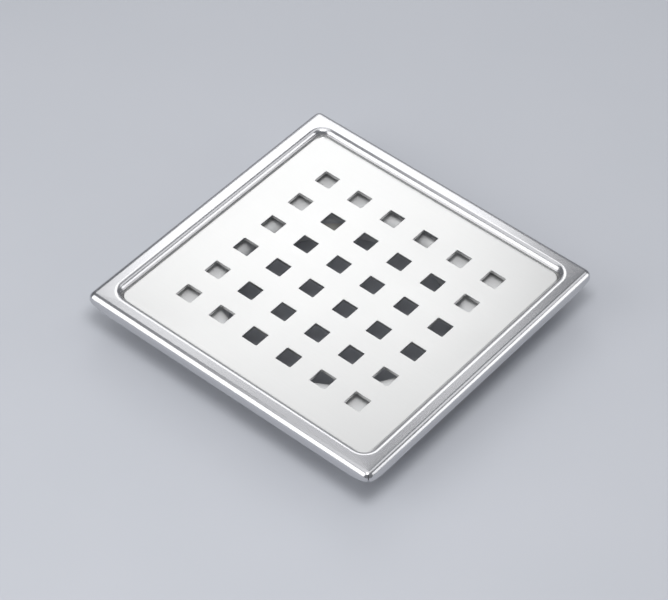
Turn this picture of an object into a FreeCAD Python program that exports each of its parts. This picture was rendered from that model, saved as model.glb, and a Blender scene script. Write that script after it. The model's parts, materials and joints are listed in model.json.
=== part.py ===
import FreeCAD, Part
import os
from math import sqrt
from FreeCAD import Vector

# Square floor drain: a pressed frame with a round outlet collar, and a loose perforated grate.
# Millimetres, +Z up. The origin is on the outlet's axis, in the plane of the collar's lower edge.

# ---- Driving dimensions -------------------------------------------------------------------
# Frame: one pressed sheet with a turned-down rim, a flange, a recess, a pan floor and a neck
frame_side = 150.0        # outside of the turned-down rim
frame_height = 22.4       # collar's lower edge to the top of the flange
frame_sheet = 1.0         # sheet thickness
flange_width = 9.05       # outside of the rim to the recess wall
rim_roll_r = 3.0          # outer radius where the flange rolls down into the rim
rim_corner_r = 3.2        # plan radius of the frame's outer corners
rim_drop = 5.8            # top of the flange to the rim's lower edge
rim_taper_length = 11.0   # length over which the rim's lower edge rises to each corner
rim_taper_rise = 2.8      # how far it has risen at the corner
corner_seam = 0.35        # open seam where two sides of the rim meet at a corner
recess_corner_r = 4.75    # plan radius of the recess wall at the corners
recess_bend_r = 2.9       # upper radius between the flange and the recess wall
pan_depth = 8.4           # top of the flange to the top of the pan floor
pan_bend_r = 1.5          # radius between the recess wall and the pan floor

# Outlet: the pan floor is drawn down into a neck, and the collar is butt-welded to the neck
outlet_bore_r = 47.5      # inside radius of the neck and the collar
outlet_draw_r = 5.0       # radius that the pan floor rolls down over into the neck
neck_straight = 2.5       # straight wall of the neck below the draw radius
collar_sheet = 1.0        # wall of the collar

# Grate: a flat plate with a square pattern of square holes
grate_gap = 0.45          # clearance between the plate and the recess wall, all round
grate_recess = 3.0        # top of the flange down to the top of the plate
grate_sheet = 1.5         # thickness of the plate
grate_edge_r = 0.35       # rounding of the plate's upper outer edge
hole_pitch = 18.0         # centre to centre, both ways
hole_rows = 6             # holes along each side of the pattern
hole_side = 7.8           # side of each square hole
hole_corner_r = 0.4       # radius in the corners of each hole
hole_edge_r = 0.15        # rounding of each hole's upper edge

# Feet: a stud welded under each corner of the plate, with a soft cap pushed over it
stud_r = 2.5              # radius of a stud
cap_wall = 1.2            # wall of the soft cap round the stud
cap_floor = 1.0           # thickness of the cap under the stud
cap_top_gap = 0.9         # clearance between the cap's upper edge and the plate
cap_edge_r = 0.4          # rounding of the cap's outer edges
foot_clearance = 0.3      # least distance from a cap to the bend at the pan's edge

# ---- Sizes that follow --------------------------------------------------------------------
flange_top = frame_height
flange_under = flange_top - frame_sheet
rim_bottom = flange_top - rim_drop
rim_inside = frame_side / 2 - frame_sheet
recess_side = frame_side - 2 * flange_width
pan_top = flange_top - pan_depth
pan_under = pan_top - frame_sheet
pan_outside = recess_side / 2 + frame_sheet
neck_top = pan_top - outlet_draw_r
neck_bottom = neck_top - neck_straight
outlet_mouth_r = outlet_bore_r + outlet_draw_r
neck_outer_r = outlet_bore_r + frame_sheet
collar_outer_r = outlet_bore_r + collar_sheet

grate_side = recess_side - 2 * grate_gap
grate_corner_r = recess_corner_r - grate_gap
grate_top = flange_top - grate_recess
grate_under = grate_top - grate_sheet
first_hole = -hole_pitch * (hole_rows - 1) / 2
pattern_half = hole_side / 2 - first_hole
cap_outer_r = stud_r + cap_wall
# the feet stand midway across the plate's plain border, and always on the flat of the pan floor
foot_limit = recess_side / 2 - pan_bend_r - foot_clearance - cap_outer_r
foot_place = min((pattern_half + grate_side / 2) / 2, foot_limit)
stud_bottom = pan_top + cap_floor
cap_top = grate_under - cap_top_gap

past = 5.0                # how far a cutting shape runs past the face that it cuts
close = 0.01              # slack in picking edges by their place

up = Vector(0, 0, 1)
origin = Vector(0, 0, 0)


# ---- Helpers ------------------------------------------------------------------------------
def rounded_block(side, corner_r, z_low, z_high, place=(0, 0)):
    """A square block with rounded upright edges, centred on place."""
    corner = Vector(place[0] - side / 2, place[1] - side / 2, z_low)
    block = Part.makeBox(side, side, z_high - z_low, corner)
    upright = [edge for edge in block.Edges if edge.BoundBox.ZLength > close]
    return block.makeFillet(corner_r, upright)


def edges_at(shape, z, reach_limit=None):
    """The edges that lie in the plane z, and no further out from the axis than reach_limit."""
    found = []
    for edge in shape.Edges:
        box = edge.BoundBox
        in_plane = abs(box.ZMin - z) < close and abs(box.ZMax - z) < close
        reach = max(abs(box.XMin), abs(box.XMax), abs(box.YMin), abs(box.YMax))
        if in_plane and (reach_limit is None or reach < reach_limit + close):
            found.append(edge)
    return found


def round_arc(centre_x, centre_z, radius):
    """A quarter circle in the XZ plane, from straight above its centre to its inner side."""
    diagonal = radius * sqrt(0.5)
    return Part.Arc(Vector(centre_x, 0, centre_z + radius),
                    Vector(centre_x - diagonal, 0, centre_z + diagonal),
                    Vector(centre_x - radius, 0, centre_z)).toShape()


def face_through(parts):
    """A flat face inside a closed outline of edges."""
    return Part.Face(Part.Wire(Part.__sortEdges__(parts)))


# ---- Frame --------------------------------------------------------------------------------
def rim_and_flange():
    """The flange with its turned-down rim: an outer block hollowed from below by one sheet."""
    outer = rounded_block(frame_side, rim_corner_r, rim_bottom, flange_top)
    outer = outer.makeFillet(rim_roll_r, edges_at(outer, flange_top))
    inner = rounded_block(2 * rim_inside, rim_corner_r - frame_sheet, rim_bottom - past, flange_under)
    inner = inner.makeFillet(rim_roll_r - frame_sheet, edges_at(inner, flange_under))
    return outer.cut(inner)


def below_taper():
    """The space under the rising lower edge of one side of the rim, near its end at +X."""
    start_x = frame_side / 2 - rim_taper_length
    end_x = frame_side / 2
    end_z = rim_bottom + rim_taper_rise
    low_z = rim_bottom - past
    # the arc leaves the straight lower edge at a tangent and ends under the corner
    arc_r = (rim_taper_length ** 2 + rim_taper_rise ** 2) / (2 * rim_taper_rise)
    half_way = rim_taper_length / 2
    half_way_z = rim_bottom + arc_r - sqrt(arc_r ** 2 - half_way ** 2)
    start = Vector(start_x, 0, rim_bottom)
    end = Vector(end_x, 0, end_z)
    outline = face_through([
        Part.Arc(start, Vector(start_x + half_way, 0, half_way_z), end).toShape(),
        Part.makeLine(end, Vector(end_x + past, 0, end_z)),
        Part.makeLine(Vector(end_x + past, 0, end_z), Vector(end_x + past, 0, low_z)),
        Part.makeLine(Vector(end_x + past, 0, low_z), Vector(start_x, 0, low_z)),
        Part.makeLine(Vector(start_x, 0, low_z), start),
    ])
    return outline.extrude(Vector(0, frame_side, 0))


def corner_trim():
    """What is cut from the rim at the +X +Y corner: both tapers, and the seam between the sides."""
    along_x = below_taper()
    along_y = along_x.mirror(origin, Vector(1, -1, 0))
    kept_half = (rim_inside + pan_outside) / 2
    keep = Part.makeBox(2 * kept_half, 2 * kept_half, frame_height + past,
                        Vector(-kept_half, -kept_half, 0))
    tapers = along_x.common(along_y).cut(keep)
    seam_start = (frame_side / 2 - rim_roll_r) * sqrt(2)
    seam = Part.makeBox(frame_side, corner_seam, rim_drop + 2 * past,
                        Vector(seam_start, -corner_seam / 2, rim_bottom - past))
    seam.rotate(origin, up, 45)
    return tapers.fuse(seam)


def neck():
    """The outlet neck drawn down out of the pan floor, as a turned profile."""
    mouth = Vector(outlet_mouth_r, 0, pan_top)
    mouth_under = Vector(outlet_mouth_r, 0, pan_under)
    inside_low = Vector(outlet_bore_r, 0, neck_bottom)
    outside_low = Vector(neck_outer_r, 0, neck_bottom)
    profile = face_through([
        round_arc(outlet_mouth_r, neck_top, outlet_draw_r),
        Part.makeLine(Vector(outlet_bore_r, 0, neck_top), inside_low),
        Part.makeLine(inside_low, outside_low),
        Part.makeLine(outside_low, Vector(neck_outer_r, 0, neck_top)),
        round_arc(outlet_mouth_r, neck_top, outlet_draw_r - frame_sheet),
        Part.makeLine(mouth_under, mouth),
    ])
    return profile.revolve(origin, up, 360)


def frame_pan():
    """The whole pressing: rim, flange, recess, pan floor and neck in one sheet."""
    pan_outer = rounded_block(2 * pan_outside, recess_corner_r + frame_sheet, pan_under, flange_top)
    pan_outer = pan_outer.makeFillet(pan_bend_r + frame_sheet, edges_at(pan_outer, pan_under))
    pan_inner = rounded_block(recess_side, recess_corner_r, pan_top, flange_top + past)
    pan_inner = pan_inner.makeFillet(pan_bend_r, edges_at(pan_inner, pan_top))
    body = rim_and_flange().fuse(pan_outer).removeSplitter().cut(pan_inner)
    body = body.makeFillet(recess_bend_r - frame_sheet, edges_at(body, flange_under, pan_outside))
    body = body.makeFillet(recess_bend_r, edges_at(body, flange_top, recess_side / 2))
    mouth = Part.makeCylinder(outlet_mouth_r, pan_depth, Vector(0, 0, pan_under - past))
    body = body.cut(mouth).fuse(neck()).removeSplitter()
    trim = corner_trim()
    for quarter in range(4):
        turned = trim.copy()
        turned.rotate(origin, up, 90 * quarter)
        body = body.cut(turned)
    return body


def outlet_collar():
    """The short tube welded below the neck, with the same bore."""
    outside = Part.makeCylinder(collar_outer_r, neck_bottom)
    return outside.cut(Part.makeCylinder(outlet_bore_r, neck_bottom))


# ---- Grate --------------------------------------------------------------------------------
def grate_plate():
    """The flat plate with its square holes."""
    plate = rounded_block(grate_side, grate_corner_r, grate_under, grate_top)
    plate = plate.makeFillet(grate_edge_r, edges_at(plate, grate_top))
    cutters = []
    for row in range(hole_rows):
        for column in range(hole_rows):
            place = (first_hole + column * hole_pitch, first_hole + row * hole_pitch)
            cutters.append(rounded_block(hole_side, hole_corner_r, grate_under - past,
                                         grate_top + past, place))
    plate = plate.cut(Part.makeCompound(cutters))
    return plate.makeFillet(hole_edge_r, edges_at(plate, grate_top, pattern_half))


def grate_stud(place):
    """The stud under one corner of the plate."""
    return Part.makeCylinder(stud_r, grate_under - stud_bottom, Vector(place[0], place[1], stud_bottom))


def foot_cap(place):
    """The soft cap that is pushed over a stud and stands on the pan floor."""
    height = cap_top - pan_top
    cap = Part.makeCylinder(cap_outer_r, height, Vector(place[0], place[1], pan_top))
    cap = cap.makeFillet(cap_edge_r, [edge for edge in cap.Edges if edge.Closed])
    socket = Part.makeCylinder(stud_r, height, Vector(place[0], place[1], stud_bottom))
    return cap.cut(socket)


# ---- Write one file per piece ---------------------------------------------------------------
pieces = {
    "frame_pan": frame_pan(),
    "outlet_collar": outlet_collar(),
    "grate_plate": grate_plate(),
}
corner_signs = {"front_left": (-1, -1), "front_right": (1, -1), "back_left": (-1, 1), "back_right": (1, 1)}
for corner_name, (sign_x, sign_y) in corner_signs.items():
    foot_at = (sign_x * foot_place, sign_y * foot_place)
    pieces["grate_stud_" + corner_name] = grate_stud(foot_at)
    pieces["foot_cap_" + corner_name] = foot_cap(foot_at)

os.makedirs("parts", exist_ok=True)
for name, shape in pieces.items():
    if len(shape.Solids) != 1 or not shape.isValid():
        raise RuntimeError(name + " is not one valid solid")
    shape.Solids[0].exportStep("parts/" + name + ".step")
    print(name, "volume", round(shape.Volume, 1), "mm3")
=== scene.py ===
# %% [markdown]
# A square floor drain, as it comes out of its box: a pressed stainless steel frame that stands on
# its short outlet collar, and a loose plate with square holes that lies in the frame's recess on
# four soft feet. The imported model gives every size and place. This file only makes it look real.

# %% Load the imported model
import json
from math import asin, cos, degrees, pi, radians, sin, sqrt, tan

import bmesh
import bpy
from mathutils import Matrix, Vector


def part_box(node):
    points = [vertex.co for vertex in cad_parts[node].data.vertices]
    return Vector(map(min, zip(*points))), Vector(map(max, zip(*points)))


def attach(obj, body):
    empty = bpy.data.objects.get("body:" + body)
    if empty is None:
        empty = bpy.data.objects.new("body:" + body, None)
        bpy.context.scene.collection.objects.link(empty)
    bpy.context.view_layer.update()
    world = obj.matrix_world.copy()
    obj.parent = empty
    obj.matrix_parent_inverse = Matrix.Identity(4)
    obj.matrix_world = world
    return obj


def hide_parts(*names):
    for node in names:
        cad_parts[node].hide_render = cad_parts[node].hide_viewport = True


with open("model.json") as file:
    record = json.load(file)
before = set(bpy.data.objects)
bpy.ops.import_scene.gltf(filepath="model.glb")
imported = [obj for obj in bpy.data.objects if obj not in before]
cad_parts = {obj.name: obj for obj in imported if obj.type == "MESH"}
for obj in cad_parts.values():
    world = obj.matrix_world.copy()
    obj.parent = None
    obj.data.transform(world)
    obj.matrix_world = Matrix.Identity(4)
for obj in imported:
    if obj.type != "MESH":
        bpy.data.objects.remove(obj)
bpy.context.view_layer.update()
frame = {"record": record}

# %% [markdown]
# Places come from the model's own boxes and mounts. Only what a box can't tell is named here: the
# sheet's thickness and the radii that the press leaves, in millimetres turned to metres. They follow
# the design's values. The seam's depth and the deburred edge are finer than the design draws.

# %% Sizes of the drain
MM = 0.001

frame_low, frame_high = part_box("frame_pan")
collar_low, collar_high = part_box("outlet_collar")
plate_low, plate_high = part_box("grate_plate")
mounts = {mount["name"]: mount for mount in frame["record"]["mounts"]}

rim_half = frame_high.x
flange_top = frame_high.z
neck_bottom = frame_low.z
pan_under = mounts["pan_bed"]["pos_m"][2]
bore_r = mounts["outlet_bore"]["dims"]["r_mm"] * MM
collar_r = mounts["outlet_spigot"]["dims"]["r_mm"] * MM
plate_half = plate_high.x

sheet = 1.0 * MM           # thickness of the frame's sheet
rim_roll_r = 3.0 * MM      # outer radius where the flange rolls down into the rim
rim_corner_r = 3.2 * MM    # plan radius of the rim's corners
rim_drop = 5.8 * MM        # flange down to the rim's lower edge
taper_length = 11.0 * MM   # length over which the lower edge rises to a corner
taper_rise = 2.8 * MM      # how far it rises there
seam_half = 0.18 * MM      # half the width of the seam at a corner of the rim
seam_depth = 0.7 * MM      # how deep the seam looks
recess_corner_r = 4.75 * MM  # plan radius of the recess wall at its corners
grate_gap = 0.45 * MM       # play between the plate and the recess wall
crest_r = 2.9 * MM         # bend between the flange and the recess wall
pan_bend_r = 1.5 * MM      # bend between the recess wall and the pan floor
draw_r = 5.0 * MM          # radius that the pan floor rolls down over into the neck
edge_r = 0.2 * MM          # deburred edge of the sheet

recess_half = plate_half + grate_gap
pan_top = pan_under + sheet
rim_bottom = flange_top - rim_drop
print("recess", round(2 * recess_half / MM, 2), "mm wide, pan floor", round(pan_top / MM, 2), "mm up")

# %% [markdown]
# Two helpers serve every piece. One turns a list of closed rings, all with the same number of
# points, into a mesh of quads: a pressed or turned piece is just that, one section carried round a
# path. The other adds a node to any tree with its settings, its values and its links.

# %% Helpers for meshes and nodes
SHARP = radians(35)        # an edge that turns by more than this stays sharp
MERGE = 0.0001 * MM        # points this close are one point, as at a pole


def mesh_from_rings(name, rings, slots, closed=False):
    """A mesh whose faces join each ring of points to the next. slots gives each strip's material."""
    count = len(rings[0])
    points = [point for ring in rings for point in ring]
    strips = len(rings) if closed else len(rings) - 1
    faces = []
    for strip in range(strips):
        here = strip * count
        there = (strip + 1) % len(rings) * count
        for i in range(count):
            j = (i + 1) % count
            faces.append((here + i, here + j, there + j, there + i))
    mesh = bpy.data.meshes.new(name)
    mesh.from_pydata(points, [], faces)
    mesh.polygons.foreach_set("material_index", [slots[i // count] for i in range(len(faces))])
    finish_mesh(mesh)
    return mesh


def finish_mesh(mesh):
    """Closes poles, points the faces outwards, and shades them smooth between sharp edges."""
    work = bmesh.new()
    work.from_mesh(mesh)
    bmesh.ops.remove_doubles(work, verts=work.verts, dist=MERGE)
    bmesh.ops.recalc_face_normals(work, faces=work.faces)
    work.to_mesh(mesh)
    work.free()
    mesh.shade_smooth()
    mesh.set_sharp_from_angle(angle=SHARP)


def place(mesh, materials):
    """Puts a finished mesh in the scene as an object at the origin, with the materials it lacks."""
    piece = bpy.data.objects.new(mesh.name, mesh)
    bpy.context.scene.collection.objects.link(piece)
    for material in materials[len(mesh.materials):]:
        mesh.materials.append(material)
    return piece


def add(tree, kind, inputs=None, **settings):
    """Adds a node. Its inputs are values, or outputs of other nodes to link from."""
    node = tree.nodes.new(kind)
    for name, value in settings.items():
        setattr(node, name, value)
    for key, value in (inputs or {}).items():
        if isinstance(value, bpy.types.NodeSocket):
            tree.links.new(value, node.inputs[key])
        else:
            node.inputs[key].default_value = value
    return node


def linear(code):
    """An sRGB hex colour as the linear colour that a shader wants."""
    channels = [int(code[i:i + 2], 16) / 255 for i in (0, 2, 4)]
    return [c / 12.92 if c <= 0.04045 else ((c + 0.055) / 1.055) ** 2.4 for c in channels] + [1.0]


def principled(name, **sockets):
    """A new material with a Principled shader, and the object's own coordinates in millimetres."""
    material = bpy.data.materials.new(name)
    material.use_nodes = True
    tree = material.node_tree
    shader = tree.nodes["Principled BSDF"]
    for socket, value in sockets.items():
        shader.inputs[socket.replace("_", " ")].default_value = value
    place_in_m = add(tree, "ShaderNodeTexCoord")
    place_in_mm = add(tree, "ShaderNodeVectorMath",
                      {0: place_in_m.outputs["Object"], 1: (1000, 1000, 1000)}, operation="MULTIPLY")
    return material, tree, shader, place_in_mm.outputs["Vector"]


NOISE_LOW, NOISE_HIGH = 0.3, 0.7   # nearly all of a noise's values lie between these


def give_skin(tree, shader, sheen, roughness, relief, strength, depth):
    """One noise moves the roughness between two values, and another raises the surface by depth."""
    rough = add(tree, "ShaderNodeMapRange",
                {"Value": sheen, "From Min": NOISE_LOW, "From Max": NOISE_HIGH,
                 "To Min": roughness[0], "To Max": roughness[1]})
    bump = add(tree, "ShaderNodeBump", {"Height": relief, "Strength": strength, "Distance": depth})
    tree.links.new(rough.outputs["Result"], shader.inputs["Roughness"])
    tree.links.new(bump.outputs["Normal"], shader.inputs["Normal"])

# %% [markdown]
# Satin stainless steel. The sheet is AISI 304, ground with a fine belt along its length and then
# lightly polished. The belt leaves scratches a few hundredths of a millimetre wide and some
# centimetres long. They are far too fine to show here, so they are drawn about ten times coarser
# and very faint: they give the eye a soft sheen that runs one way. A second, cloudy pattern is the
# uneven polish that keeps a large flat sheet from looking like plastic.

# %% Satin steel of the grate
GRAIN_MM = 0.35            # width of a scratch, as drawn
GRAIN_LENGTH_MM = 30       # its length
GRAIN_DEPTH = 0.004 * MM
POLISH_MM = 35             # size of the polish's clouds
SATIN_ROUGHNESS = 0.30
SATIN_SPREAD = 0.03        # how far the roughness strays either way


def ground_steel():
    """Stainless steel ground one way, along X."""
    material, tree, shader, where = principled("satin ground stainless steel", Metallic=1.0)
    stretch = (1 / GRAIN_LENGTH_MM, 1 / GRAIN_MM, 1 / GRAIN_MM)
    along = add(tree, "ShaderNodeVectorMath", {0: where, 1: stretch}, operation="MULTIPLY")
    scratches = add(tree, "ShaderNodeTexNoise",
                    {"Vector": along.outputs["Vector"], "Scale": 1.0, "Detail": 3.0, "Roughness": 0.6})
    clouds = add(tree, "ShaderNodeTexNoise",
                 {"Vector": where, "Scale": 1 / POLISH_MM, "Detail": 2.0, "Roughness": 0.5})
    mixed = add(tree, "ShaderNodeMath", {0: clouds.outputs["Fac"], 1: 0.5, 2: scratches.outputs["Fac"]},
                operation="MULTIPLY_ADD")
    rough = add(tree, "ShaderNodeMapRange",
                {"Value": mixed.outputs["Value"], "From Min": 0.4, "From Max": 1.1,
                 "To Min": SATIN_ROUGHNESS - SATIN_SPREAD, "To Max": SATIN_ROUGHNESS + SATIN_SPREAD})
    tone = add(tree, "ShaderNodeMapRange",
               {"Value": scratches.outputs["Fac"], "From Min": NOISE_LOW, "From Max": NOISE_HIGH,
                "To Min": 0.975, "To Max": 1.0})
    tint = add(tree, "ShaderNodeVectorMath", {0: linear("cfcfce")[:3], "Scale": tone.outputs["Result"]},
               operation="SCALE")
    bump = add(tree, "ShaderNodeBump", {"Height": scratches.outputs["Fac"], "Strength": 0.25,
                                        "Distance": GRAIN_DEPTH})
    tree.links.new(tint.outputs["Vector"], shader.inputs["Base Color"])
    tree.links.new(rough.outputs["Result"], shader.inputs["Roughness"])
    tree.links.new(bump.outputs["Normal"], shader.inputs["Normal"])
    return material


satin_plate = ground_steel()
print("made", satin_plate.name)

# %% [markdown]
# The holes are cut by a laser. The beam leaves a wall with fine upright grooves, about 0.3 mm apart,
# and a thin dark oxide. The walls are coloured darker than that oxide alone, as painted shade for the
# shadow inside each hole, so the inside of a hole is much darker than the face around it. The grooves
# are noise that is narrow across the wall and long up and down it.

# %% Laser-cut walls of the holes, with painted shade
GROOVE_MM = 0.3            # spacing of the grooves
GROOVE_LENGTH_MM = 4       # longer than the wall is high, so each runs all the way


def laser_cut_steel():
    """A laser-cut edge: dull and grooved from top to bottom, dark from its oxide and from painted shade."""
    material, tree, shader, where = principled("laser-cut stainless edge", Metallic=1.0)
    squeeze = (1 / GROOVE_MM, 1 / GROOVE_MM, 1 / GROOVE_LENGTH_MM)
    squeezed = add(tree, "ShaderNodeVectorMath", {0: where, 1: squeeze}, operation="MULTIPLY")
    grooves = add(tree, "ShaderNodeTexNoise", {"Vector": squeezed.outputs["Vector"], "Scale": 1.0,
                                               "Detail": 2.0})
    # These dark tones are partly the cut's oxide and partly painted shade for the inside of the hole.
    tone = add(tree, "ShaderNodeMix", {"Factor": grooves.outputs["Fac"], "A": linear("252527"),
                                       "B": linear("444446")}, data_type="RGBA")
    tree.links.new(tone.outputs["Result"], shader.inputs["Base Color"])
    give_skin(tree, shader, grooves.outputs["Fac"], (0.45, 0.6), grooves.outputs["Fac"], 0.5, 0.03 * MM)
    return material


laser_cut = laser_cut_steel()
print("made", laser_cut.name)

# %% [markdown]
# The frame is deep-drawn, then buffed on its upper side, so its rim and flange are brighter and
# smoother than the plate. The underside and the pan are only pickled: a bath of acid takes off the
# scale and leaves a pale, dull grey skin that scatters light almost like paper, so it is given only
# a little metallic reflection. That is why the pan floor looks light through the outer holes. Round
# the collar's weld the heat has left a faint band of straw and blue, which the bath thins but seldom
# takes away.

# %% Buffed and pickled steel of the frame
RIPPLE_MM = 6              # size of the ripple that drawing leaves
HAZE_MM = 0.7              # size of the buffing wheel's haze
ETCH_MM = 0.5              # size of the acid's etched skin, drawn coarse enough to show
BLOTCH_MM = 14             # size of the bath's uneven patches
BARE_HALF_MM = 1.6         # half the width of the clean stripe on the weld itself
HEAT_BAND_MM = 3.2         # how far the weld's colours reach along the steel
HEAT_RAGGED_MM = 1.4       # how far the patches push the edge of those colours about
HEAT_LEFT = 0.35           # share of the colours that the acid bath leaves
HEAT_COLOURS = ((0.3, "cdb68c"), (0.55, "a9a0ad"), (0.75, "bcc6d4"))   # straw, violet, blue


def buffed_steel():
    """Bright drawn steel: smooth, with the faint ripple that drawing leaves in the sheet."""
    material, tree, shader, where = principled("buffed drawn stainless steel", Metallic=1.0,
                                               Base_Color=linear("cfcfd1"))
    ripple = add(tree, "ShaderNodeTexNoise", {"Vector": where, "Scale": 1 / RIPPLE_MM, "Detail": 2.0})
    haze = add(tree, "ShaderNodeTexNoise", {"Vector": where, "Scale": 1 / HAZE_MM, "Detail": 4.0})
    give_skin(tree, shader, haze.outputs["Fac"], (0.21, 0.225), ripple.outputs["Fac"], 0.2, 0.008 * MM)
    return material


def pickled_steel():
    """Pickled sheet: pale, even and dull, with a fine etched skin and a heat band at the weld."""
    material, tree, shader, where = principled("pickled stainless steel", Metallic=0.15)
    skin = add(tree, "ShaderNodeTexNoise", {"Vector": where, "Scale": 1 / ETCH_MM, "Detail": 5.0,
                                            "Roughness": 0.65})
    blotches = add(tree, "ShaderNodeTexNoise", {"Vector": where, "Scale": 1 / BLOTCH_MM, "Detail": 3.0})
    tone = add(tree, "ShaderNodeMix", {"Factor": blotches.outputs["Fac"], "A": linear("dfe0e1"),
                                       "B": linear("ececec")}, data_type="RGBA")
    parts = add(tree, "ShaderNodeSeparateXYZ", {0: where})
    above = add(tree, "ShaderNodeMath", {0: parts.outputs["Z"], 1: neck_bottom / MM},
                operation="SUBTRACT")
    off = add(tree, "ShaderNodeMath", {0: above.outputs[0]}, operation="ABSOLUTE")
    ragged = add(tree, "ShaderNodeMath", {0: blotches.outputs["Fac"], 1: HEAT_RAGGED_MM, 2: off.outputs[0]},
                 operation="MULTIPLY_ADD")
    across = add(tree, "ShaderNodeMapRange", {"Value": ragged.outputs[0], "From Min": BARE_HALF_MM,
                                              "From Max": BARE_HALF_MM + HEAT_BAND_MM})
    heat = add(tree, "ShaderNodeValToRGB", {"Fac": across.outputs["Result"]})
    ramp = heat.color_ramp
    ramp.elements[0].color = linear("e6dcc2")
    ramp.elements[1].color = linear("ffffff")
    for share, code in HEAT_COLOURS:
        ramp.elements.new(share).color = linear(code)
    tinted = add(tree, "ShaderNodeMix", {"Factor": HEAT_LEFT, "A": tone.outputs["Result"],
                                         "B": heat.outputs["Color"]},
                 data_type="RGBA", blend_type="MULTIPLY")
    tree.links.new(tinted.outputs["Result"], shader.inputs["Base Color"])
    give_skin(tree, shader, skin.outputs["Fac"], (0.66, 0.76), skin.outputs["Fac"], 0.3, 0.01 * MM)
    return material


buffed = buffed_steel()
pickled = pickled_steel()
print("made", buffed.name, "and", pickled.name)

# %% [markdown]
# Every ring of the frame is a rounded square. Its points, called stations, are the same all the way
# through: an arc at each corner, and a side in between. Stations crowd together near the corners,
# where the rim's lower edge curves up, and three of them in the middle of each corner can be pushed
# in to make the seam.

# %% Stations round a rounded square
SEAM_TURN = degrees(seam_half / rim_corner_r)
ARC = [0, 7.5, 15, 22.5, 30, 37, 45 - SEAM_TURN, 45, 45 + SEAM_TURN, 53, 60, 67.5, 75, 82.5, 90]
SEAM_STATION = ARC.index(45)
NEAR_CORNER = 6            # stations on a side that lie within the taper at each end
ALONG_SIDE = 24            # stations on the rest of a side


def side_shares():
    """Where the stations of a side lie, as shares of the side."""
    end = (taper_length - rim_corner_r) / (2 * (rim_half - rim_corner_r))
    near = [end * (i + 1) / NEAR_CORNER for i in range(NEAR_CORNER)]
    middle = [end + (1 - 2 * end) * (i + 1) / (ALONG_SIDE + 1) for i in range(ALONG_SIDE)]
    return near + middle + [1 - share for share in reversed(near)]


SIDE = side_shares()
QUARTER = len(ARC) + len(SIDE)
STATIONS = 4 * QUARTER


def square_place(half, corner, station):
    """Where a station of the first quarter lies on a rounded square."""
    middle = half - max(corner, 0.0)
    if station < len(ARC):
        turn = radians(ARC[station])
        return middle + (half - middle) * cos(turn), middle + (half - middle) * sin(turn)
    return middle - 2 * middle * SIDE[station - len(ARC)], half


def four_times(quarter):
    """A whole ring from the points of its first quarter."""
    ring = []
    for k in range(4):
        spin = Matrix.Rotation(k * pi / 2, 3, "Z")
        ring += [spin @ Vector(point) for point in quarter]
    return ring


def round_ring(radius, z):
    """A circle with as many points as a square ring, turned so that corners meet at 45 degrees."""
    step = 2 * pi / STATIONS
    first = pi / 4 - step * SEAM_STATION
    return [Vector((radius * cos(first + i * step), radius * sin(first + i * step), z))
            for i in range(STATIONS)]


def edge_rise(station):
    """How far the rim's lower edge has risen at a station, towards the nearest corner."""
    x, y = square_place(rim_half, rim_corner_r, station)
    into_taper = min(abs(x), abs(y)) - (rim_half - taper_length)
    radius = (taper_length ** 2 + taper_rise ** 2) / (2 * taper_rise)
    return radius - sqrt(radius ** 2 - max(into_taper, 0) ** 2)


RISE = [edge_rise(station) for station in range(QUARTER)]
print(STATIONS, "stations round the frame, lower edge rises", round(max(RISE) / MM, 2), "mm")

# %% [markdown]
# The frame is one sheet, so its section is one line with a normal at every point: up the rim, over
# the roll, in along the flange, over the crest, down the recess wall, round the bend and in along
# the pan floor to the outlet. Moving that line in by the sheet's thickness gives the other side of
# the sheet, with every bend's inner radius right by itself. The flange falls outwards by a hair,
# as pressed flanges do, which is what makes its four sides catch the light differently.

# %% Section of the frame
FALL = radians(3.5)        # outward slope of the flange
support = 0.15 * MM        # a flat strip beside each bend keeps the flat parts' shading flat


def bend(centre, radius, first, last, steps, hollow=False):
    """Points round a bend as (half, z, facing); a hollow bend faces its own centre."""
    out = []
    for i in range(steps + 1):
        facing = first + (last - first) * i / steps
        side = -radius if hollow else radius
        out.append((centre[0] + side * cos(facing), centre[1] + side * sin(facing), facing))
    return out


crest_centre = (recess_half + crest_r, flange_top - crest_r)
roll_x = rim_half - rim_roll_r
# the roll's centre lies where the sloping flange is a tangent to both the crest and the roll
roll_z = crest_centre[1] + (crest_r - rim_roll_r) / cos(FALL) - (roll_x - crest_centre[0]) * tan(FALL)
wall_low = pan_top + pan_bend_r

roll = bend((roll_x, roll_z), rim_roll_r, 0.0, pi / 2 - FALL, 22)
crest = bend(crest_centre, crest_r, pi / 2 - FALL, pi, 14)
floor_bend = bend((recess_half - pan_bend_r, wall_low), pan_bend_r, pi, pi / 2, 12, hollow=True)

skirt_low = rim_bottom + edge_r
skirt = [(rim_half, skirt_low + share * (roll_z - support - skirt_low), 0.0)
         for share in (0.0, 0.3, 0.6, 0.85, 1.0)]
flange_way = (Vector(crest[0][:2]) - Vector(roll[-1][:2])).normalized()
flange = [(*(Vector(roll[-1][:2]) + support * flange_way), pi / 2 - FALL),
          (*(Vector(crest[0][:2]) - support * flange_way), pi / 2 - FALL)]
wall = [(recess_half, crest[-1][1] - support, pi), (recess_half, wall_low + support, pi)]
floor_start = (floor_bend[-1][0] - support, pan_top, pi / 2)

rim_part = skirt + roll + flange[:1]
recess_part = flange[1:] + crest + wall + floor_bend + [floor_start]
print("flange falls", round((flange[-1][1] - flange[0][1]) / MM, 3), "mm over its width")

# %% [markdown]
# The rings run up the outer face, across the top, down the neck, and back along the underside to
# where they began, so the frame closes like a ring doughnut with no hidden hole in its mesh. The
# seam fades in over the first part of the roll, because the four sides of the rim are folded down
# from one flat blank and only part company where they turn.

# %% Frame
SEAM_FADES = (radians(72), radians(84))   # the seam is full below the first, gone above the second
RISE_ENDS = roll_z + rim_roll_r * sin(radians(75))   # the lower edge's rise dies out on the roll
NECK_STEPS = 18            # faces round the draw of the neck
EDGE_STEPS = 3             # faces round each half of the rim's deburred lower edge


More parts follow.
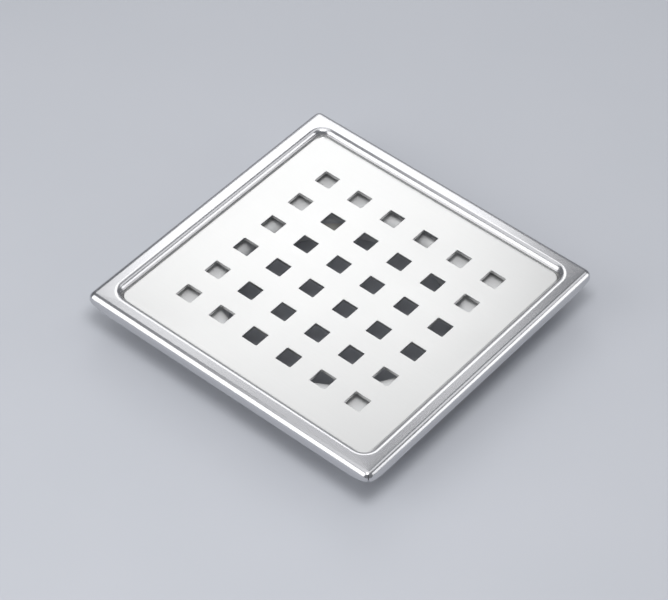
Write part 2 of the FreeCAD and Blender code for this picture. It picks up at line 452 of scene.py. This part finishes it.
def raised(point, rise):
    """A point of the rim's section, moved up along the section to make room for the lower edge."""
    half, z, facing = point
    if z >= RISE_ENDS or rise == 0:
        return point
    z += rise * (RISE_ENDS - z) / (RISE_ENDS - rim_bottom)
    if z <= roll_z:
        return rim_half, z, 0.0
    facing = asin((z - roll_z) / rim_roll_r)
    return roll_x + rim_roll_r * cos(facing), z, facing


def rim_ring(point, depth=0.0, extent=0.0):
    """A ring of the rim, depth into the sheet and extent down past its point of the section."""
    quarter = []
    for station, rise in enumerate(RISE):
        half, z, facing = raised(point, rise)
        sunk = depth
        if station == SEAM_STATION and depth < seam_depth:
            low, high = SEAM_FADES
            sunk += seam_depth * min(1.0, max(0.0, (high - facing) / (high - low)))
        outward = half - depth * cos(facing) + extent * sin(facing)
        x, y = square_place(outward, rim_corner_r - (rim_half - outward), station)
        pull = (sunk - depth) * cos(facing) / sqrt(2)
        quarter.append((x - pull, y - pull, z - sunk * sin(facing) - extent * cos(facing)))
    return four_times(quarter)


def recess_ring(point, depth=0.0):
    """A ring of the recess, depth into the sheet."""
    half, z, facing = point
    half -= depth * cos(facing)
    corner = recess_corner_r + (half - recess_half)
    places = [square_place(half, corner, station) for station in range(QUARTER)]
    return four_times([(x, y, z - depth * sin(facing)) for x, y in places])


def frame_rings():
    """All the frame's rings in order, with the material slot of the strip after each one."""
    neck = bend((bore_r + draw_r, pan_top - draw_r), draw_r, pi / 2, pi, NECK_STEPS)
    neck = [(neck[0][0] + support, pan_top, pi / 2)] + neck
    neck += [(bore_r, neck_bottom + support, pi), (bore_r, neck_bottom, pi)]
    rings = [rim_ring(point) for point in rim_part] + [recess_ring(point) for point in recess_part]
    buffed_count = len(rim_part) + len(flange[1:]) + len(crest)
    rings += [round_ring(half, z) for half, z, facing in neck]
    rings += [round_ring(half - sheet * cos(facing), z - sheet * sin(facing))
              for half, z, facing in reversed(neck)]
    rings += [recess_ring(point, sheet) for point in reversed(recess_part)]
    rings += [rim_ring(point, sheet) for point in reversed(rim_part)]
    round_off = [pi / 2 * i / EDGE_STEPS for i in range(1, EDGE_STEPS + 1)]
    rings += [rim_ring(skirt[0], sheet - edge_r * (1 - cos(t)), edge_r * sin(t)) for t in round_off]
    rings += [rim_ring(skirt[0], edge_r * (1 - cos(t)), edge_r * sin(t)) for t in reversed(round_off)]
    slots = [0] * buffed_count + [1] * (len(rings) - buffed_count)
    slots[-2 * EDGE_STEPS:] = [0] * 2 * EDGE_STEPS
    return rings, slots


rings, slots = frame_rings()
frame_mesh = mesh_from_rings("drain_frame", rings, slots, closed=True)
drain_frame = place(frame_mesh, [buffed, pickled])
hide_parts("frame_pan")
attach(drain_frame, "frame")
print("drain_frame", len(frame_mesh.polygons), "faces")

# %% [markdown]
# The collar is a strip of the same sheet, rolled into a hoop whose ends are welded together, and
# butt-welded under the neck. It is a turned shape: rings again, this time circles, with both edges
# slightly rounded by deburring. One station stands proud all the way down: the hoop's own weld.

# %% Outlet collar
HOOP_WELD = 0.12 * MM      # how proud the weld across the hoop stands
HOOP_WELD_STATION = 2 * QUARTER + len(ARC) + len(SIDE) // 2


def hoop_section(inner, outer, low, high, radius, steps=4):
    """The closed section of a hoop with rounded edges, as (radius, z) points."""
    corners = [((outer - radius, low + radius), -pi / 2), ((outer - radius, high - radius), 0.0),
               ((inner + radius, high - radius), pi / 2), ((inner + radius, low + radius), pi)]
    points = []
    for (centre_r, centre_z), first in corners:
        for i in range(steps + 1):
            turn = first + pi / 2 * i / steps
            points.append((centre_r + radius * cos(turn), centre_z + radius * sin(turn)))
    return points


def hoop_ring(radius, z):
    """A circle of the collar, with the ridge of the hoop's weld on its outer side."""
    ring = round_ring(radius, z)
    if radius > (bore_r + collar_r) / 2:
        ring[HOOP_WELD_STATION] *= 1 + HOOP_WELD / radius
        ring[HOOP_WELD_STATION].z = z
    return ring


section = hoop_section(bore_r, collar_r, collar_low.z, collar_high.z, edge_r)
collar_rings = [hoop_ring(radius, z) for radius, z in section]
collar_mesh = mesh_from_rings("rolled_collar", collar_rings, [0] * len(section), closed=True)
rolled_collar = place(collar_mesh, [pickled])
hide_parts("outlet_collar")
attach(rolled_collar, "frame")
print("rolled_collar", len(collar_mesh.polygons), "faces")

# %% [markdown]
# The weld between neck and collar is laid by a torch that stops and starts as the part turns, so the
# bead is a row of small overlapping crescents. A crescent is a formula: the bead's height falls away
# from each new puddle, and each puddle lags a little at its edges. The sections follow each other
# round the joint, and the last one joins the first.

# %% Weld bead
BEAD_HALF = 1.1 * MM       # half the width of the bead
BEAD_HEIGHT = 0.26 * MM    # how proud it stands at the front of a puddle
BEAD_FALL = 0.4            # share of its height that it loses before the next puddle
BEAD_LAG = 0.45            # how far a puddle's edges lag, as a share of a puddle
BEAD_ROOT = 0.2 * MM       # how deep the bead is let into the sheet
PUDDLES = 190
PUDDLE_STEPS = 4
BEAD_STEPS = 8


def bead_section(step):
    """The bead's closed outline at one step round the joint."""
    turn = 2 * pi * step / (PUDDLES * PUDDLE_STEPS)
    outline = []
    for i in range(BEAD_STEPS + 1):
        across = 2 * i / BEAD_STEPS - 1
        into_puddle = (step / PUDDLE_STEPS + BEAD_LAG * across ** 2) % 1.0
        height = BEAD_HEIGHT * (1 - BEAD_FALL * into_puddle) * (1 - across ** 2)
        outline.append((collar_r + height, collar_high.z + across * BEAD_HALF))
    outline += [(collar_r - BEAD_ROOT, collar_high.z + BEAD_HALF),
                (collar_r - BEAD_ROOT, collar_high.z - BEAD_HALF)]
    return [(radius * cos(turn), radius * sin(turn), z) for radius, z in outline]


bead_rings = [bead_section(step) for step in range(PUDDLES * PUDDLE_STEPS)]
bead_mesh = mesh_from_rings("collar_weld", bead_rings, [0] * len(bead_rings), closed=True)
collar_weld = place(bead_mesh, [pickled])
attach(collar_weld, "frame")
print("collar_weld", len(bead_mesh.polygons), "faces, a puddle every",
      round(2 * pi * collar_r / PUDDLES / MM, 2), "mm")

# %% [markdown]
# The grate is a flat plate with a square pattern of square holes. The same hole comes again
# and again, so Geometry Nodes make it: one wall of a hole, with its two softened edges, is swept
# once and set on a grid of points, and the plate's own edge is swept the same way. The two flat
# faces are then filled between all those edges, and everything is merged into one closed solid.

# %% Tree for a perforated plate
PLATE_MERGE = 0.002 * MM   # filled faces and swept edges meet within this
PLATE_ARC = 14             # points round a corner of the plate
HOLE_ARC = 4               # points round a corner of a hole
EDGE_ARC = 4               # points round a softened edge


def number_input(tree, name, kind="NodeSocketFloat"):
    """A named input of a tree."""
    return tree.interface.new_socket(name, in_out="INPUT", socket_type=kind)


def edge_wall(tree, side, corner, corner_steps, edge, strip, thick, inward):
    """A swept upright wall round a rounded square, with rounded edges and a flat strip beside each."""
    square = add(tree, "GeometryNodeCurvePrimitiveQuadrilateral", {"Width": side, "Height": side})
    outline = add(tree, "GeometryNodeFilletCurve",
                  {"Curve": square.outputs["Curve"], "Radius": corner, "Count": corner_steps}, mode="POLY")
    reach = add(tree, "ShaderNodeMath", {0: edge, 1: strip}, operation="ADD")
    away = add(tree, "ShaderNodeMath", {0: reach.outputs[0], 1: -1.0 if inward else 1.0},
               operation="MULTIPLY")
    top_end = add(tree, "ShaderNodeCombineXYZ", {"X": away.outputs[0]})
    low_corner = add(tree, "ShaderNodeCombineXYZ", {"Y": thick})
    low_end = add(tree, "ShaderNodeCombineXYZ", {"X": away.outputs[0], "Y": thick})
    path = add(tree, "GeometryNodeCurvePrimitiveQuadrilateral",
               {"Point 1": top_end.outputs[0], "Point 2": (0, 0, 0),
                "Point 3": low_corner.outputs[0], "Point 4": low_end.outputs[0]}, mode="POINTS")
    opened = add(tree, "GeometryNodeSetSplineCyclic", {0: path.outputs["Curve"], "Cyclic": False})
    profile = add(tree, "GeometryNodeFilletCurve",
                  {"Curve": opened.outputs[0], "Radius": edge, "Count": EDGE_ARC}, mode="POLY")
    wall_sweep = add(tree, "GeometryNodeCurveToMesh",
                     {"Curve": outline.outputs["Curve"], "Profile Curve": profile.outputs["Curve"]})
    return wall_sweep.outputs["Mesh"]


def plate_tree(material):
    """The whole plate, with its top face at z = 0."""
    tree = bpy.data.node_groups.new("perforated plate", "GeometryNodeTree")
    tree.interface.new_socket("Geometry", in_out="OUTPUT", socket_type="NodeSocketGeometry")
    for name in ("Plate Side", "Plate Corner", "Plate Edge", "Thickness", "Hole Side", "Hole Corner",
                 "Hole Edge", "Pitch", "Strip"):
        number_input(tree, name)
    number_input(tree, "Rows", "NodeSocketInt")
    given = add(tree, "NodeGroupInput").outputs
    outer = edge_wall(tree, given["Plate Side"], given["Plate Corner"], PLATE_ARC, given["Plate Edge"],
                      given["Strip"], given["Thickness"], inward=True)
    hole = edge_wall(tree, given["Hole Side"], given["Hole Corner"], HOLE_ARC, given["Hole Edge"],
                     given["Strip"], given["Thickness"], inward=False)
    gaps = add(tree, "ShaderNodeMath", {0: given["Rows"], 1: 1.0}, operation="SUBTRACT")
    span = add(tree, "ShaderNodeMath", {0: gaps.outputs[0], 1: given["Pitch"]}, operation="MULTIPLY")
    grid = add(tree, "GeometryNodeMeshGrid",
               {"Size X": span.outputs[0], "Size Y": span.outputs[0],
                "Vertices X": given["Rows"], "Vertices Y": given["Rows"]})
    holes = add(tree, "GeometryNodeInstanceOnPoints", {"Points": grid.outputs["Mesh"], "Instance": hole})
    placed = add(tree, "GeometryNodeRealizeInstances", {"Geometry": holes.outputs["Instances"]})
    walls = add(tree, "GeometryNodeJoinGeometry")
    tree.links.new(outer, walls.inputs[0])
    tree.links.new(placed.outputs[0], walls.inputs[0])
    below = add(tree, "ShaderNodeMath", {0: given["Thickness"], 1: -1.0}, operation="MULTIPLY")
    middle = add(tree, "ShaderNodeMath", {0: below.outputs[0], 1: 0.5}, operation="MULTIPLY")
    neighbours = add(tree, "GeometryNodeInputMeshEdgeNeighbors")
    position = add(tree, "GeometryNodeInputPosition")
    height = add(tree, "ShaderNodeSeparateXYZ", {0: position.outputs[0]})
    open_edge = add(tree, "FunctionNodeCompare",
                    {"A": neighbours.outputs[0], "B": 1}, data_type="INT", operation="EQUAL")
    whole = add(tree, "GeometryNodeJoinGeometry")
    tree.links.new(walls.outputs[0], whole.inputs[0])
    for compare, level in (("GREATER_THAN", None), ("LESS_THAN", below.outputs[0])):
        side = add(tree, "FunctionNodeCompare", {"A": height.outputs["Z"], "B": middle.outputs[0]},
                   data_type="FLOAT", operation=compare)
        both = add(tree, "FunctionNodeBooleanMath", {0: open_edge.outputs[0], 1: side.outputs[0]},
                   operation="AND")
        loops = add(tree, "GeometryNodeMeshToCurve", {"Mesh": walls.outputs[0],
                                                      "Selection": both.outputs[0]})
        face = add(tree, "GeometryNodeFillCurve", {"Curve": loops.outputs[0]}, mode="TRIANGLES")
        lift = add(tree, "ShaderNodeCombineXYZ", {"Z": level} if level else None)
        moved = add(tree, "GeometryNodeSetPosition", {"Geometry": face.outputs[0],
                                                      "Offset": lift.outputs[0]})
        tree.links.new(moved.outputs[0], whole.inputs[0])
    merged = add(tree, "GeometryNodeMergeByDistance", {"Geometry": whole.outputs[0],
                                                       "Distance": PLATE_MERGE})
    real = add(tree, "GeometryNodeRealizeInstances", {"Geometry": merged.outputs[0]})
    painted = add(tree, "GeometryNodeSetMaterial", {"Geometry": real.outputs[0], "Material": material})
    add(tree, "NodeGroupOutput", {0: painted.outputs[0]})
    return tree


def mesh_from_tree(name, tree, values):
    """Runs a tree on an empty mesh with its named inputs set, and gives back the plain mesh."""
    carrier = bpy.data.objects.new("carrier", bpy.data.meshes.new("carrier"))
    bpy.context.scene.collection.objects.link(carrier)
    modifier = carrier.modifiers.new("shape", "NODES")
    modifier.node_group = tree
    for item in tree.interface.items_tree:
        if item.in_out == "INPUT" and item.name in values:
            modifier[item.identifier] = values[item.name]
    ready = carrier.evaluated_get(bpy.context.evaluated_depsgraph_get())
    mesh = bpy.data.meshes.new_from_object(ready)
    mesh.name = name
    carrier.modifiers.remove(modifier)
    bpy.data.objects.remove(carrier)
    return mesh

# %% [markdown]
# The plate's own numbers go into the tree's named inputs. The laser leaves each hole with slightly
# rounded corners, and the belt that grinds the face takes the sharpness off every edge. The faces
# that stand upright inside the pattern are the cut walls, so they get the second material.

# %% Grate plate
hole_pitch = 18.0 * MM
hole_rows = 6
hole_side = 7.8 * MM
hole_corner_r = 0.4 * MM
hole_edge_r = 0.15 * MM
plate_edge_r = 0.35 * MM
UPRIGHT = 0.3              # a face whose normal rises less than this is part of a wall

plate_mesh = mesh_from_tree("punched_plate", plate_tree(satin_plate), {
    "Plate Side": 2 * plate_half, "Plate Corner": recess_corner_r - grate_gap,
    "Plate Edge": plate_edge_r, "Thickness": plate_high.z - plate_low.z, "Hole Side": hole_side,
    "Hole Corner": hole_corner_r, "Hole Edge": hole_edge_r, "Pitch": hole_pitch, "Strip": support,
    "Rows": hole_rows})
plate_mesh.transform(Matrix.Translation((0, 0, plate_high.z)))
finish_mesh(plate_mesh)
pattern_reach = (hole_pitch * (hole_rows - 1) + hole_side) / 2 + MM
cut_faces = [face for face in plate_mesh.polygons
             if abs(face.normal.z) < UPRIGHT
             and max(abs(face.center.x), abs(face.center.y)) < pattern_reach]
punched_plate = place(plate_mesh, [satin_plate, laser_cut])
for face in cut_faces:
    face.material_index = 1
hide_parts("grate_plate")
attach(punched_plate, "grate")
measured = bmesh.new()
measured.from_mesh(plate_mesh)
open_edges = sum(not edge.is_manifold for edge in measured.edges)
print("punched_plate", len(measured.faces), "faces,", len(cut_faces), "of them cut,",
      open_edges, "open edges,", round(measured.calc_volume() / MM ** 3, 1), "mm3")
measured.free()

# %% [markdown]
# Four studs hold the plate up. Each is a slug of bright drawn bar, chamfered on a lathe and welded
# under a corner of the plate by one burst of current, which leaves a small fillet of melted steel
# round its root. A section turned about the stud's own axis is the plain way to make what came off a
# lathe, so one helper turns any section about the middle of any node, and the caps use it too. The
# marks that run round a real stud are finer than a tenth of a millimetre, so they are drawn coarser.

# %% Studs
TURNED = 48                # points round a small turned piece
QUARTER_TURN = [radians(22.5 * i) for i in range(5)]   # steps round a fillet or a rounded edge
CORNERS = ("front_left", "front_right", "back_left", "back_right")
weld_fillet = 0.35 * MM    # leg of the weld round a stud's root
stud_chamfer = 0.3 * MM    # chamfer at a stud's free end
MARK_MM = 0.2              # spacing of the feed marks, as drawn
MARK_LENGTH_MM = 8         # how far a mark runs before it changes


def turned_piece(name, node, section, material):
    """A section of (radius, z) points, from pole to pole, turned about the node's upright axis."""
    low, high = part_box(node)
    middle = (low + high) / 2
    turns = [2 * pi * i / TURNED for i in range(TURNED)]
    rings = [[(middle.x + radius * cos(turn), middle.y + radius * sin(turn), z) for turn in turns]
             for radius, z in section]
    piece = place(mesh_from_rings(name, rings, [0] * len(rings)), [material])
    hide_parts(node)
    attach(piece, "grate")
    return piece


def drawn_bar_steel():
    """Bright drawn bar: a steady sheen, with feed marks that run round it."""
    material, tree, shader, where = principled("bright drawn stainless bar", Metallic=1.0,
                                               Base_Color=linear("c4c5c7"))
    squeeze = (1 / MARK_LENGTH_MM, 1 / MARK_LENGTH_MM, 1 / MARK_MM)
    squeezed = add(tree, "ShaderNodeVectorMath", {0: where, 1: squeeze}, operation="MULTIPLY")
    marks = add(tree, "ShaderNodeTexNoise", {"Vector": squeezed.outputs["Vector"], "Scale": 1.0,
                                             "Detail": 2.0})
    give_skin(tree, shader, marks.outputs["Fac"], (0.26, 0.36), marks.outputs["Fac"], 0.3, 0.01 * MM)
    return material


drawn_bar = drawn_bar_steel()
for corner_name in CORNERS:
    node = "grate_stud_" + corner_name
    stud_low, stud_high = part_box(node)
    stud_r = (stud_high.x - stud_low.x) / 2
    stud_section = [(0.0, stud_low.z), (stud_r - stud_chamfer, stud_low.z),
                    (stud_r, stud_low.z + stud_chamfer)]
    stud_section += [(stud_r + weld_fillet * (1 - cos(turn)), stud_high.z - weld_fillet * (1 - sin(turn)))
                     for turn in QUARTER_TURN]
    stud_section.append((0.0, stud_high.z))
    turned_piece("welded_stud_" + corner_name, node, stud_section, drawn_bar)
print("four studs,", round(2 * stud_r / MM, 2), "mm across")

# %% [markdown]
# A soft cap sits on each stud, so that steel never rattles on steel. It is moulded rubber, black and
# matt with a faint bloom, rounded at both edges, with a small lead-in where the stud goes in. Halfway
# up runs the thin line where the two halves of the mould meet.

# %% Foot caps
cap_edge_r = 0.4 * MM      # rounding of the cap's outer edges
cap_lead_in = 0.25 * MM    # chamfer at the mouth of the socket
parting_half = 0.12 * MM   # half the height of the parting line
parting_proud = 0.06 * MM  # how proud the parting line stands
BLOOM_MM = 2.5             # size of the bloom's patches
MOULD_GRAIN_MM = 0.25      # size of the mould's grain


def moulded_rubber():
    """Moulded rubber: near black, matt, with a greyish bloom and the fine grain of the mould."""
    material, tree, shader, where = principled("moulded black rubber", Specular_IOR_Level=0.4)
    bloom = add(tree, "ShaderNodeTexNoise", {"Vector": where, "Scale": 1 / BLOOM_MM, "Detail": 4.0})
    tone = add(tree, "ShaderNodeMix", {"Factor": bloom.outputs["Fac"], "A": linear("19191a"),
                                       "B": linear("2e2e2f")}, data_type="RGBA")
    grain = add(tree, "ShaderNodeTexNoise", {"Vector": where, "Scale": 1 / MOULD_GRAIN_MM, "Detail": 2.0})
    tree.links.new(tone.outputs["Result"], shader.inputs["Base Color"])
    give_skin(tree, shader, bloom.outputs["Fac"], (0.54, 0.68), grain.outputs["Fac"], 0.4, 0.02 * MM)
    return material


rubber = moulded_rubber()
for corner_name in CORNERS:
    node = "foot_cap_" + corner_name
    cap_low, cap_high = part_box(node)
    cap_r = (cap_high.x - cap_low.x) / 2
    parting_z = (cap_low.z + cap_high.z) / 2
    inner_r = cap_r - cap_edge_r
    cap_section = [(0.0, cap_low.z)]
    cap_section += [(inner_r + cap_edge_r * sin(turn), cap_low.z + cap_edge_r * (1 - cos(turn)))
                    for turn in QUARTER_TURN]
    cap_section += [(cap_r, parting_z - parting_half), (cap_r + parting_proud, parting_z),
                    (cap_r, parting_z + parting_half)]
    cap_section += [(inner_r + cap_edge_r * cos(turn), cap_high.z - cap_edge_r * (1 - sin(turn)))
                    for turn in QUARTER_TURN]
    cap_section += [(stud_r + cap_lead_in, cap_high.z), (stud_r, cap_high.z - cap_lead_in),
                    (stud_r, stud_low.z), (0.0, stud_low.z)]
    turned_piece("rubber_cap_" + corner_name, node, cap_section, rubber)
print("four caps,", round(2 * cap_r / MM, 2), "mm across")

# %% [markdown]
# The floor is a plain, pale, matt studio board, big enough to fill every view. It is staging, so it
# is one flat face, with the faint cloudiness of pressed card.

# %% Floor
FLOOR_REACH = 3.0          # metres from the middle to each side
FIBRE_MM = 90              # size of the card's clouds


def studio_board():
    """Pale matt card."""
    material, tree, shader, where = principled("matt studio board", Roughness=0.75,
                                               Specular_IOR_Level=0.2)
    fibre = add(tree, "ShaderNodeTexNoise", {"Vector": where, "Scale": 1 / FIBRE_MM, "Detail": 3.0})
    tone = add(tree, "ShaderNodeMix", {"Factor": fibre.outputs["Fac"], "A": linear("b8bbc1"),
                                       "B": linear("bdbfc5")}, data_type="RGBA")
    tree.links.new(tone.outputs["Result"], shader.inputs["Base Color"])
    return material


floor_corners = [(x * FLOOR_REACH, y * FLOOR_REACH, 0) for x, y in ((-1, -1), (1, -1), (1, 1), (-1, 1))]
floor_mesh = bpy.data.meshes.new("floor")
floor_mesh.from_pydata(floor_corners, [], [(0, 1, 2, 3)])
floor_board = place(floor_mesh, [studio_board()])
print("floor", 2 * FLOOR_REACH, "m wide")

# %% [markdown]
# The camera looks down on one corner with a long lens, so opposite sides stay almost parallel. It is
# placed by the angles it looks from, as a photographer would say it: so far round, so far up, tipped
# a little, and so far away from the point it aims at, which is close to the middle of the plate.

# %% Camera
AZIMUTH, ELEVATION, ROLL = radians(37.18), radians(46.69), radians(3.11)
DISTANCE = 1.1303          # metres from the aim
LENS = 147.06              # millimetres
SENSOR = 36                # millimetres wide
aim = Vector((2.46 * MM, -8.21 * MM, plate_high.z))

camera_data = bpy.data.cameras.new("camera")
camera_data.lens = LENS
camera_data.sensor_width = SENSOR
camera = bpy.data.objects.new("camera", camera_data)
bpy.context.scene.collection.objects.link(camera)
camera_turn = (Matrix.Rotation(AZIMUTH, 4, "Z") @ Matrix.Rotation(pi / 2 - ELEVATION, 4, "X")
               @ Matrix.Rotation(ROLL, 4, "Z"))
camera_back = camera_turn @ Vector((0, 0, 1))
camera.matrix_world = Matrix.Translation(aim + DISTANCE * camera_back) @ camera_turn
bpy.context.scene.camera = camera
print("camera", DISTANCE, "m away,", round(degrees(ELEVATION), 1), "degrees up")

# %% [markdown]
# Steel has no colour of its own: it shows what stands around it. So the lights are large soft boxes,
# placed by where the surfaces look. The back box is what the flat plate mirrors, so it sets the
# plate's brightness and where that fades. The low strip, the left box and the two right boxes each
# fill one side's roll and recess wall. The small strong box above the camera shines down through the
# holes and lights the pan floor that is seen through them. The panel overhead softens the rest.

# %% Lights
# name, azimuth and elevation in degrees, then in metres distance, width and height, then radiance
SOFT_BOXES = [
    ("back box", 219.5, 42.5, 0.8, 0.39, 0.36, 1.75),
    ("low back strip", 219, 19, 0.8, 0.6, 0.2, 0.6),
    ("front left box", -30, 28, 0.8, 0.62, 0.74, 1.9),
    ("right box", 130, 17, 0.8, 0.45, 0.44, 1.6),
    ("right high box", 152, 50, 0.8, 0.3, 0.34, 0.9),
    ("front top box", 37, 68, 0.8, 0.3, 0.3, 11),
    ("overhead panel", 0, 90, 1.2, 1.1, 1.1, 0.85),
]
ROOM_STRENGTH = 0.3        # the dim grey room beyond the lights


def soft_box(name, azimuth, elevation, distance, width, height, radiance):
    """A soft box that faces the object, seen from it at that azimuth and elevation."""
    data = bpy.data.lights.new(name, "AREA")
    data.shape = "RECTANGLE"
    data.size = width
    data.size_y = height
    data.energy = radiance * pi * width * height
    light = bpy.data.objects.new(name, data)
    light.visible_camera = False
    bpy.context.scene.collection.objects.link(light)
    turn = (Matrix.Rotation(radians(azimuth), 4, "Z")
            @ Matrix.Rotation(pi / 2 - radians(elevation), 4, "X"))
    away = turn @ Vector((0, 0, 1))
    light.matrix_world = Matrix.Translation(aim + distance * away) @ turn


for box in SOFT_BOXES:
    soft_box(*box)

world = bpy.data.worlds.new("studio")
world.use_nodes = True
room = world.node_tree.nodes["Background"]
room.inputs["Color"].default_value = linear("d8dbe2")
room.inputs["Strength"].default_value = ROOM_STRENGTH
bpy.context.scene.world = world
bpy.context.scene.view_settings.view_transform = "Standard"
print(len(SOFT_BOXES), "soft boxes")
